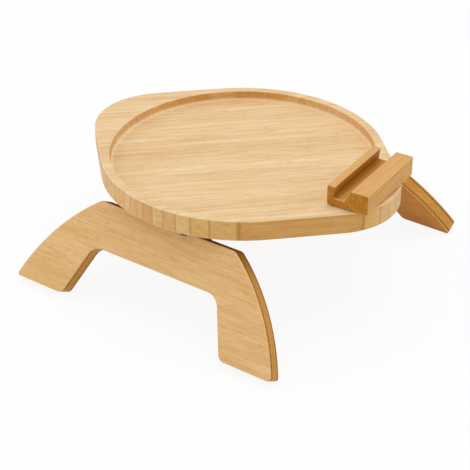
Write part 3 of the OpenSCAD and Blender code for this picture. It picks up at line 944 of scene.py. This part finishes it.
class Recipe:
    """A tree of steps that makes a shape, with named inputs for its sizes."""

    def __init__(self, name, inputs):
        self.tree = bpy.data.node_groups.new(name, "GeometryNodeTree")
        face = self.tree.interface
        face.new_socket(name="Geometry", in_out="INPUT", socket_type="NodeSocketGeometry")
        self.identifiers = {}
        for label, kind in inputs:
            socket = face.new_socket(name=label, in_out="INPUT", socket_type="NodeSocket" + kind)
            self.identifiers[label] = socket.identifier
        face.new_socket(name="Geometry", in_out="OUTPUT", socket_type="NodeSocketGeometry")
        self.source = self.tree.nodes.new("NodeGroupInput")
        self.result = self.tree.nodes.new("NodeGroupOutput")

    def add(self, kind, **inputs):
        node = self.tree.nodes.new(kind)
        for label, value in inputs.items():
            feed(self.tree.links, node.inputs[label.replace("_", " ")], value)
        return node

    def given(self, label):
        return self.source.outputs[label]

    def calc(self, operation, first, second):
        node = self.tree.nodes.new("ShaderNodeMath")
        node.operation = operation
        feed_all(self.tree.links, node, (first, second))
        return node.outputs[0]

    def solids(self, operation, first, others):
        """Joins the others, or cuts them out of the first."""
        node = self.tree.nodes.new("GeometryNodeMeshBoolean")
        node.operation = operation
        node.solver = "EXACT"
        if first is not None:
            self.tree.links.new(first, node.inputs["Mesh 1"])
        for other in others:
            self.tree.links.new(other, node.inputs["Mesh 2"])
        return node.outputs[0]

    def finish(self, geometry, material):
        realized = self.add("GeometryNodeRealizeInstances", Geometry=geometry)
        painted = self.add("GeometryNodeSetMaterial", Geometry=realized.outputs[0], Material=material)
        self.tree.links.new(painted.outputs[0], self.result.inputs[0])

    def make(self, name, points, edges, **values):
        """Runs the steps on a mesh of points, and returns the shape as a plain mesh."""
        mesh = bpy.data.meshes.new(name)
        mesh.from_pydata([tuple(point) for point in points], edges, [])
        holder = new_object(name, mesh)
        steps = holder.modifiers.new(name, "NODES")
        steps.node_group = self.tree
        for label, value in values.items():
            steps[self.identifiers[label.replace("_", " ")]] = value
        return plain_mesh(holder)


def wire_recipe():
    """A round wire along a path of points."""
    tree = Recipe("Round wire", [("Wire radius", "Float"), ("Sides", "Int")])
    path = tree.add("GeometryNodeMeshToCurve", Mesh=tree.given("Geometry"))
    wire_r = tree.given("Wire radius")
    ring = tree.add("GeometryNodeCurvePrimitiveCircle", Resolution=tree.given("Sides"), Radius=wire_r)
    skin = tree.add(
        "GeometryNodeCurveToMesh", Curve=path.outputs[0], Profile_Curve=ring.outputs[0], Fill_Caps=True
    )
    tree.finish(skin.outputs[0], wire_steel)
    return tree


def wire_bend(a, b, c):
    """Rounds the bend at b of a path in space."""
    steps = 5
    first = b + (a - b).normalized() * WIRE_BEND_R
    last = b + (c - b).normalized() * WIRE_BEND_R
    points = []
    for i in range(steps + 1):
        share = i / steps
        points.append(first * (1 - share) ** 2 + b * 2 * share * (1 - share) + last * share**2)
    return points


def spring_path():
    """Spring points in a hinge's frame: the part that stays on the tray, and the arm on the panel."""
    coil_r = PIN_R + COIL_GAP + WIRE_R
    half_length = SPRING_TURNS * SPRING_PITCH / 2
    arm_side = PIN_DROP - LEAF_T - WIRE_R - ARM_GAP
    hook_tip = PIN_DROP - HOOK_SHORT
    lift = math.atan2(arm_side, SPRING_REACH)
    tangent = math.acos(coil_r / math.hypot(SPRING_REACH, arm_side))
    start = math.pi - lift + tangent
    stop = SPLAY - math.pi / 2 + lift - tangent + 2 * math.pi * (SPRING_TURNS + 1)
    count = SPRING_POINTS * (SPRING_TURNS + 1)
    coil = []
    for i in range(count + 1):
        share = i / count
        turn = start + (stop - start) * share
        across = -half_length + 2 * half_length * share
        coil.append(Vector((across, coil_r * math.cos(turn), coil_r * math.sin(turn))))
    board_hook = Vector((-half_length, -SPRING_REACH, hook_tip))
    board_bend = Vector((-half_length, -SPRING_REACH, arm_side))
    out = Vector((0, math.cos(SPLAY), math.sin(SPLAY)))
    down = Vector((0, math.sin(SPLAY), -math.cos(SPLAY)))
    arm_end = Vector((half_length, 0, 0)) + down * SPRING_REACH
    panel_bend = arm_end + out * arm_side
    panel_hook = arm_end + out * hook_tip
    stays = [board_hook] + wire_bend(board_hook, board_bend, coil[0]) + coil
    moves = coil[-ARM_OVERLAP:] + wire_bend(coil[-1], panel_bend, panel_hook) + [panel_hook]
    return stays, moves


def build_springs():
    recipe = wire_recipe()
    stays, moves = spring_path()
    for side in SIDES:
        for end, to_tray in hinge_places(side).items():
            node = side + "_" + end + "_spring"
            for name, path, body, radius in (
                (node + "_coil", stays, "tray", WIRE_R),
                (node + "_leg", moves, PANEL_BODY[side], WIRE_R - ARM_THINNER),
            ):
                points = [to_tray @ point for point in path]
                edges = [(i, i + 1) for i in range(len(points) - 1)]
                solid = recipe.make(name, points, edges, Wire_radius=radius, Sides=12)
                add_piece(name, solid, body, node)


def screw_recipe():
    """Countersunk wood screws at the points of a mesh, heads outwards, each with a cross slot."""
    tree = Recipe("Countersunk screws", [
        ("Head radius", "Float"), ("Head depth", "Float"), ("Shank radius", "Float"),
        ("Shank length", "Float"), ("Slot width", "Float"), ("Slot depth", "Float"),
        ("Inwards", "Vector"),
    ])
    head_r = tree.given("Head radius")
    head_h = tree.given("Head depth")
    shank_r = tree.given("Shank radius")
    shank_l = tree.given("Shank length")
    neck = tree.calc("MULTIPLY", shank_r, SCREW_NECK)
    cone = tree.add(
        "GeometryNodeMeshCone", Vertices=32, Radius_Top=neck, Radius_Bottom=head_r, Depth=head_h
    )
    shank = tree.add("GeometryNodeMeshCylinder", Vertices=20, Radius=shank_r, Depth=shank_l)
    sunk = tree.calc("MULTIPLY", head_h, SHANK_START)
    middle = tree.calc("ADD", tree.calc("MULTIPLY", shank_l, 0.5), sunk)
    lift = tree.add("ShaderNodeCombineXYZ", Z=middle)
    shank = tree.add("GeometryNodeTransform", Geometry=shank.outputs[0], Translation=lift.outputs[0])
    size = tree.add(
        "ShaderNodeCombineXYZ", X=tree.calc("MULTIPLY", head_r, SLOT_REACH), Y=tree.given("Slot width"),
        Z=tree.calc("MULTIPLY", tree.given("Slot depth"), 2.0),
    )
    bars = []
    for turn in (0.0, math.pi / 2):
        bar = tree.add("GeometryNodeMeshCube", Size=size.outputs[0])
        bar = tree.add("GeometryNodeTransform", Geometry=bar.outputs[0], Rotation=(0, 0, turn))
        bars.append(bar.outputs[0])
    body = tree.solids("UNION", None, (cone.outputs[0], shank.outputs[0]))
    slotted = tree.solids("DIFFERENCE", body, bars)
    aim = tree.add("FunctionNodeAlignRotationToVector", Vector=tree.given("Inwards"))
    aim.axis = "Z"
    points = tree.given("Geometry")
    spread = tree.add(
        "GeometryNodeInstanceOnPoints", Points=points, Instance=slotted, Rotation=aim.outputs[0]
    )
    tree.finish(spread.outputs[0], zinc)
    return tree


def build_screws():
    recipe = screw_recipe()
    sizes = {
        "Head_radius": 3.36 * MM, "Head_depth": 1.5 * MM, "Shank_radius": 1.7 * MM,
        "Shank_length": 8 * MM, "Slot_width": 0.8 * MM, "Slot_depth": 1.1 * MM,
    }
    leaf_face = PIN_DROP - LEAF_T
    row = (-SCREW_PITCH, 0, SCREW_PITCH)
    points = []
    for side in SIDES:
        for to_tray in hinge_places(side).values():
            points += [to_tray @ Vector((x, -BOARD_SCREWS_IN, leaf_face)) for x in row]
    solid = recipe.make("board_screws", points, [], Inwards=(0, 0, 1), **sizes)
    add_piece("board_screws", solid, "tray", "board_leaf_screws", smooth=False)
    for side in SIDES:
        to_tray = panel_place(side)
        points = []
        for middle in (-HINGE_OUT, HINGE_OUT):
            for x in row:
                points.append(to_tray @ Vector((middle + x, leaf_face, -PANEL_START - PANEL_SCREWS_DOWN)))
        inwards = to_tray.to_3x3() @ Vector((0, 1, 0))
        name = side + "_screws"
        solid = recipe.make(name, points, [], Inwards=tuple(inwards), **sizes)
        add_piece(name, solid, PANEL_BODY[side], side + "_panel_screws", smooth=False)


# Hardware that keeps the solids' own shapes

NODE_FINISH = {
    "holder_insert": brass,
    "holder_bolt": zinc,
    "holder_head_washer": zinc,
    "holder_cup_washer": wire_steel,
    "holder_bush": nylon,
    "holder_slide_washer": nylon,
}


def finish_nodes():
    """Gives each solid that stays in view its finish."""
    for name, node in frame["nodes"].items():
        finish = NODE_FINISH.get(name)
        if name.endswith(("_leaf", "_pin")):
            finish = steel
        if finish is not None:
            node.data.materials.clear()
            node.data.materials.append(finish)


# Stage, lights and camera

WORLD_STRENGTH = 0.72
FLOOR_SIZE = 6
FLOOR_WHITE = 0.9
FLOOR_COLOUR = (0.9, 0.9, 0.9, 1)
WHITE = (1, 1, 1, 1)
SOFT_WHITE = (1, 0.99, 0.97, 1)

# Disc lamps: where each stands, what it looks at, its width, and its power in watts
LAMPS = {
    "overhead": ((0.1, 0.3, 1.8), (0, 0, 0.1), 1.5, 9),
    "left_fill": ((-1.5, -0.6, 0.8), (0, 0, 0.1), 1.2, 4.5),
    "right_fill": ((1.5, 0.2, 0.8), (0, 0, 0.1), 1.2, 1.8),
    "front_fill": ((0.0, -1.6, 0.4), (0, 0, 0.05), 1.2, 1.5),
}

CAMERA_PLACE = (0.74349, -1.04282, 0.79992)
CAMERA_AIM = (-0.500594, 0.693057, -0.518727)
LENS = 112.67
SENSOR_WIDTH = 36


def emptied(owner):
    """The node tree of a material or a world, with nothing in it yet."""
    owner.use_nodes = True
    owner.node_tree.nodes.clear()
    return owner.node_tree


def seen_by(tree, *kinds):
    """1 for rays of the kinds named, and 0 for all others."""
    rays = tree.nodes.new("ShaderNodeLightPath")
    seen = rays.outputs[kinds[0]]
    for kind in kinds[1:]:
        either = tree.nodes.new("ShaderNodeMath")
        either.operation = "MAXIMUM"
        tree.links.new(seen, either.inputs[0])
        tree.links.new(rays.outputs[kind], either.inputs[1])
        seen = either.outputs[0]
    return seen


def shader(tree, kind, **inputs):
    node = tree.nodes.new(kind)
    for label, value in inputs.items():
        node.inputs[label].default_value = value
    return node.outputs[0]


def mixed(tree, share, first, second):
    node = tree.nodes.new("ShaderNodeMixShader")
    for socket, output in zip(node.inputs, (share, first, second)):
        tree.links.new(output, socket)
    return node.outputs[0]


def build_stage():
    """A white floor that keeps a soft shadow, and is clear from below."""
    bm = bmesh.new()
    bmesh.ops.create_grid(bm, x_segments=1, y_segments=1, size=FLOOR_SIZE)
    floor = new_object("floor", bpy.data.meshes.new("floor"))
    bm.to_mesh(floor.data)
    bm.free()
    paint = bpy.data.materials.new("white_floor")
    tree = emptied(paint)
    matt = shader(tree, "ShaderNodeBsdfDiffuse", Color=FLOOR_COLOUR)
    white = shader(tree, "ShaderNodeEmission", Color=WHITE)
    clear = shader(tree, "ShaderNodeBsdfTransparent")
    share = tree.nodes.new("ShaderNodeMath")
    share.operation = "MULTIPLY"
    tree.links.new(seen_by(tree, "Is Camera Ray", "Is Glossy Ray"), share.inputs[0])
    share.inputs[1].default_value = FLOOR_WHITE
    top = mixed(tree, share.outputs[0], matt, white)
    below = tree.nodes.new("ShaderNodeNewGeometry").outputs["Backfacing"]
    out = tree.nodes.new("ShaderNodeOutputMaterial")
    tree.links.new(mixed(tree, below, top, clear), out.inputs["Surface"])
    floor.data.materials.append(paint)


def build_world():
    """A soft even light, which shows as plain white behind the tray and in its reflections."""
    world = bpy.data.worlds.new("studio")
    bpy.context.scene.world = world
    tree = emptied(world)
    soft = shader(tree, "ShaderNodeBackground", Color=SOFT_WHITE, Strength=WORLD_STRENGTH)
    white = shader(tree, "ShaderNodeBackground", Color=WHITE, Strength=1.0)
    seen = seen_by(tree, "Is Camera Ray", "Is Glossy Ray", "Is Transmission Ray")
    out = tree.nodes.new("ShaderNodeOutputWorld")
    tree.links.new(mixed(tree, seen, soft, white), out.inputs["Surface"])


def turn_towards(thing, direction):
    thing.rotation_mode = "QUATERNION"
    thing.rotation_quaternion = direction.to_track_quat("-Z", "Y")


def add_lamp(name, place, target, size, power):
    lamp = bpy.data.lights.new(name, "AREA")
    lamp.shape = "DISK"
    lamp.size = size
    lamp.energy = power
    stand = new_object(name, lamp)
    stand.location = place
    turn_towards(stand, Vector(target) - Vector(place))


def build_camera():
    """The camera stands where the photograph was taken from, about 1.45 m from the tray."""
    camera = new_object("camera", bpy.data.cameras.new("camera"))
    camera.location = CAMERA_PLACE
    turn_towards(camera, Vector(CAMERA_AIM))
    camera.data.sensor_width = SENSOR_WIDTH
    camera.data.lens = LENS
    camera.data.clip_start = 0.05
    camera.data.clip_end = 20
    bpy.context.scene.camera = camera


build_camera()
build_board()
build_panels()
build_holder()
build_bumpers()
build_pads()
build_springs()
build_screws()
finish_nodes()
build_stage()
build_world()
for lamp_name, settings in LAMPS.items():
    add_lamp(lamp_name, *settings)
bpy.context.scene.view_settings.view_transform = "Standard"
